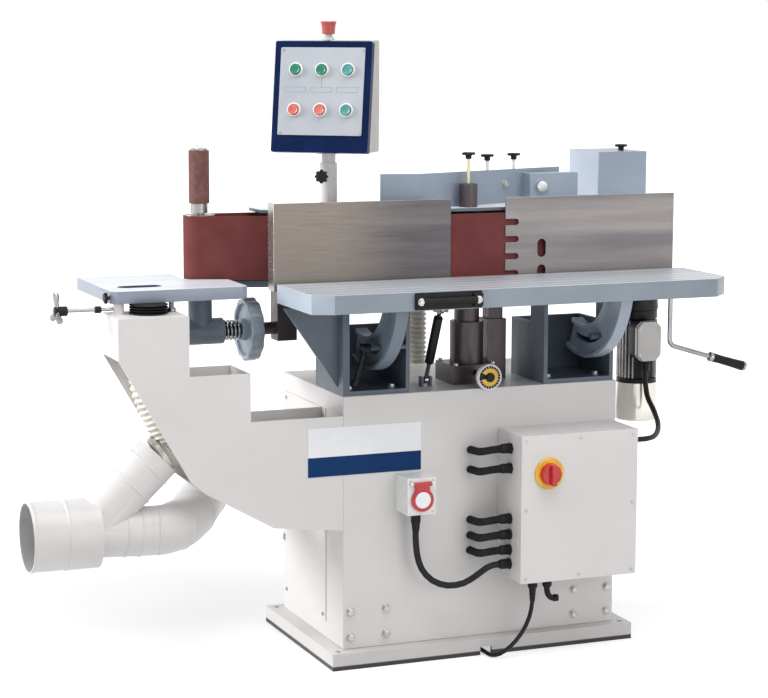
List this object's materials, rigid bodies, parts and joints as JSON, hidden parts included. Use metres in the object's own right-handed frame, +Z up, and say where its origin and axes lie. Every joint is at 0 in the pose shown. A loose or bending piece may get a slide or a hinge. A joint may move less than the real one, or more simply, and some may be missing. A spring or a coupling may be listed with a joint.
{
  "type": "edge sander",
  "caption": "Floor-standing edge sander with a vertical sanding belt between two steel fences, a tilting work table, an end table over a dust tower and a control panel on a post.",
  "frame": {"origin": "centre of the base's footprint on the floor", "axes": "+X along the work table to the right as seen from the front, +Y to the rear, +Z up"},
  "size_m": [1.7578, 0.8022, 1.4853],
  "materials": {
    "white_paint": "satin",
    "grey_paint": "satin",
    "cast_table": "satin",
    "steel": "satin",
    "chromed": "polished",
    "motor_alloy": "satin",
    "belt_grit": "matte",
    "black_plastic": "matte",
    "navy_plastic": "satin",
    "red_plastic": "gloss",
    "green_plastic": "gloss",
    "teal_plastic": "gloss",
    "salmon_plastic": "gloss",
    "yellow_plastic": "gloss",
    "cable_jacket": "matte",
    "hose_plastic": "satin"
  },
  "bodies": {
    "frame": {"base_plate": "white_paint", "pedestal": "white_paint", "side_arm": "white_paint", "frame_bolts": "steel", "support_boxes": "grey_paint", "lift_column": "grey_paint", "electric_box": "white_paint", "electric_cover": "white_paint", "cable_glands": "black_plastic", "socket_box": "hose_plastic", "socket_cable": "cable_jacket", "motor_cable": "cable_jacket", "mains_lead": "cable_jacket", "mains_coil": "cable_jacket", "mains_plug": "red_plastic", "dust_duct": "white_paint", "rear_duct": "hose_plastic", "tower_hose": "hose_plastic", "bellows": "cable_jacket", "panel_post": "white_paint"},
    "head": {"head_frame": "grey_paint", "lift_ram": "steel", "platen": "steel", "sanding_belt": "belt_grit", "rear_hood": "grey_paint", "end_hood": "grey_paint", "drive_motor": "motor_alloy", "fan_cover": "white_paint", "fence_left": "steel", "fence_right": "steel", "tension_bar": "grey_paint", "tension_spring": "steel"},
    "drive_drum": {"drive_drum": "steel"},
    "tension": {"tension_carriage": "grey_paint"},
    "idle_drum": {"idle_drum": "steel", "sanding_sleeve": "belt_grit"},
    "handwheel": {"handwheel": "grey_paint"},
    "platen_screw": {"platen_screw": "steel"},
    "table": {"main_table": "cast_table", "trunnions": "grey_paint", "table_handle": "black_plastic"},
    "crank": {"crank_lever": "chromed"},
    "gas_rod": {"gas_rod": "chromed"},
    "gas_cylinder": {"gas_cylinder": "black_plastic"},
    "clamp_lever": {"clamp_lever": "black_plastic"},
    "end_table": {"end_table": "cast_table"},
    "wing_knob": {"wing_knob": "chromed"},
    "height_dial": {"height_dial": "yellow_plastic"},
    "panel_stem": {"panel_stem": "white_paint"},
    "panel": {"panel_box": "navy_plastic"},
    "emergency_stop": {"emergency_stop": "red_plastic"},
    "button_1": {"button_1": "green_plastic"},
    "button_2": {"button_2": "green_plastic"},
    "button_3": {"button_3": "teal_plastic"},
    "button_4": {"button_4": "salmon_plastic"},
    "button_5": {"button_5": "salmon_plastic"},
    "button_6": {"button_6": "teal_plastic"},
    "star_knob": {"star_knob": "black_plastic"},
    "main_switch": {"main_switch": "red_plastic"},
    "socket_lid": {"socket_lid": "red_plastic"}
  },
  "joints": [
    {"name": "head_lift", "type": "slide", "parent": "frame", "child": "head", "axis": [0, 0, 1], "range_m": [-0.08, 0], "deforming": ["motor_cable", "rear_duct"]},
    {"name": "height_dial", "type": "hinge", "parent": "frame", "child": "height_dial", "pos_m": [0.01, -0.208, 0.662], "axis": [0, 1, 0], "range_deg": [-720, 0]},
    {"name": "drive_drum_spin", "type": "hinge", "parent": "head", "child": "drive_drum", "pos_m": [0.526, 0.015, 0.96], "axis": [0, 0, 1], "continuous": true},
    {"name": "belt_tension", "type": "slide", "parent": "head", "child": "tension", "axis": [1, 0, 0], "range_m": [0, 0.012], "deforming": ["tension_spring"]},
    {"name": "idle_drum_spin", "type": "hinge", "parent": "tension", "child": "idle_drum", "pos_m": [-0.598, 0.09, 0.96], "axis": [0, 0, 1], "continuous": true},
    {"name": "handwheel_turn", "type": "hinge", "parent": "head", "child": "handwheel", "pos_m": [-0.4775, 0.09, 0.76], "axis": [1, 0, 0], "range_deg": [0, 1080]},
    {"name": "platen_screw_turn", "type": "hinge", "parent": "head", "child": "platen_screw", "pos_m": [0.026, -0.054, 1.1], "axis": [0, 0, 1], "range_deg": [-180, 180]},
    {"name": "table_tilt", "type": "hinge", "parent": "frame", "child": "table", "pos_m": [0, -0.119, 0.889], "axis": [-1, 0, 0], "range_deg": [0, 45]},
    {"name": "crank_turn", "type": "hinge", "parent": "table", "child": "crank", "pos_m": [0.47, -0.25, 0.84], "axis": [0, 0, 1], "range_deg": [-45, 45]},
    {"name": "gas_swing", "type": "hinge", "parent": "frame", "child": "gas_rod", "pos_m": [-0.115, -0.131, 0.65], "axis": [-1, 0, 0], "range_deg": [0, 5.7]},
    {"name": "gas_extension", "type": "slide", "parent": "gas_rod", "child": "gas_cylinder", "axis": [0, -0.4256, 0.9049], "range_m": [0, 0.084]},
    {"name": "clamp_turn", "type": "hinge", "parent": "frame", "child": "clamp_lever", "pos_m": [-0.292, -0.19391, 0.74198], "axis": [1, 0, 0], "range_deg": [-25, 25]},
    {"name": "end_table_lift", "type": "slide", "parent": "frame", "child": "end_table", "axis": [0, 0, 1], "range_m": [0, 0.025], "deforming": ["bellows"]},
    {"name": "wing_knob_turn", "type": "hinge", "parent": "frame", "child": "wing_knob", "pos_m": [-0.92, -0.112, 0.849], "axis": [1, 0, 0], "range_deg": [-180, 180]},
    {"name": "panel_height", "type": "slide", "parent": "frame", "child": "panel_stem", "axis": [0, 0, 1], "range_m": [0, 0.15]},
    {"name": "panel_swivel", "type": "hinge", "parent": "panel_stem", "child": "panel", "pos_m": [-0.241, 0.18, 1.19], "axis": [0, 0, 1], "range_deg": [-60, 60]},
    {"name": "emergency_stop_press", "type": "slide", "parent": "panel", "child": "emergency_stop", "axis": [0, 0, -1], "range_m": [0, 0.006], "stiffness_N_per_m": 900},
    {"name": "button_1_press", "type": "slide", "parent": "panel", "child": "button_1", "axis": [0.6216, 0.7676, -0.1564], "range_m": [0, 0.004], "stiffness_N_per_m": 600},
    {"name": "button_2_press", "type": "slide", "parent": "panel", "child": "button_2", "axis": [0.6216, 0.7676, -0.1564], "range_m": [0, 0.004], "stiffness_N_per_m": 600},
    {"name": "button_3_press", "type": "slide", "parent": "panel", "child": "button_3", "axis": [0.6216, 0.7676, -0.1564], "range_m": [0, 0.004], "stiffness_N_per_m": 600},
    {"name": "button_4_press", "type": "slide", "parent": "panel", "child": "button_4", "axis": [0.6216, 0.7676, -0.1564], "range_m": [0, 0.004], "stiffness_N_per_m": 600},
    {"name": "button_5_press", "type": "slide", "parent": "panel", "child": "button_5", "axis": [0.6216, 0.7676, -0.1564], "range_m": [0, 0.004], "stiffness_N_per_m": 600},
    {"name": "button_6_press", "type": "slide", "parent": "panel", "child": "button_6", "axis": [0.6216, 0.7676, -0.1564], "range_m": [0, 0.004], "stiffness_N_per_m": 600},
    {"name": "star_knob_turn", "type": "hinge", "parent": "frame", "child": "star_knob", "pos_m": [-0.26787, 0.15313, 1.114], "axis": [-0.7071, -0.7071, 0], "range_deg": [-180, 180]},
    {"name": "main_switch_turn", "type": "hinge", "parent": "frame", "child": "main_switch", "pos_m": [0.11, -0.336, 0.448], "axis": [0, -1, 0], "range_deg": [0, 90]},
    {"name": "socket_lid_flip", "type": "hinge", "parent": "frame", "child": "socket_lid", "pos_m": [-0.185, -0.282, 0.435], "axis": [-1, 0, 0], "range_deg": [0, 100]}
  ],
  "couplings": [
    {"joint": "height_dial", "follows": "head_lift", "rad_per_m": 157.08},
    {"joint": "idle_drum_spin", "follows": "drive_drum_spin", "ratio": 1.9444},
    {"joint": "handwheel_turn", "follows": "belt_tension", "rad_per_m": 1570.8},
    {"joint": "gas_swing", "follows": "table_tilt", "ratio": 0.1253},
    {"joint": "gas_extension", "follows": "table_tilt", "m_per_rad": 0.1057}
  ]
}
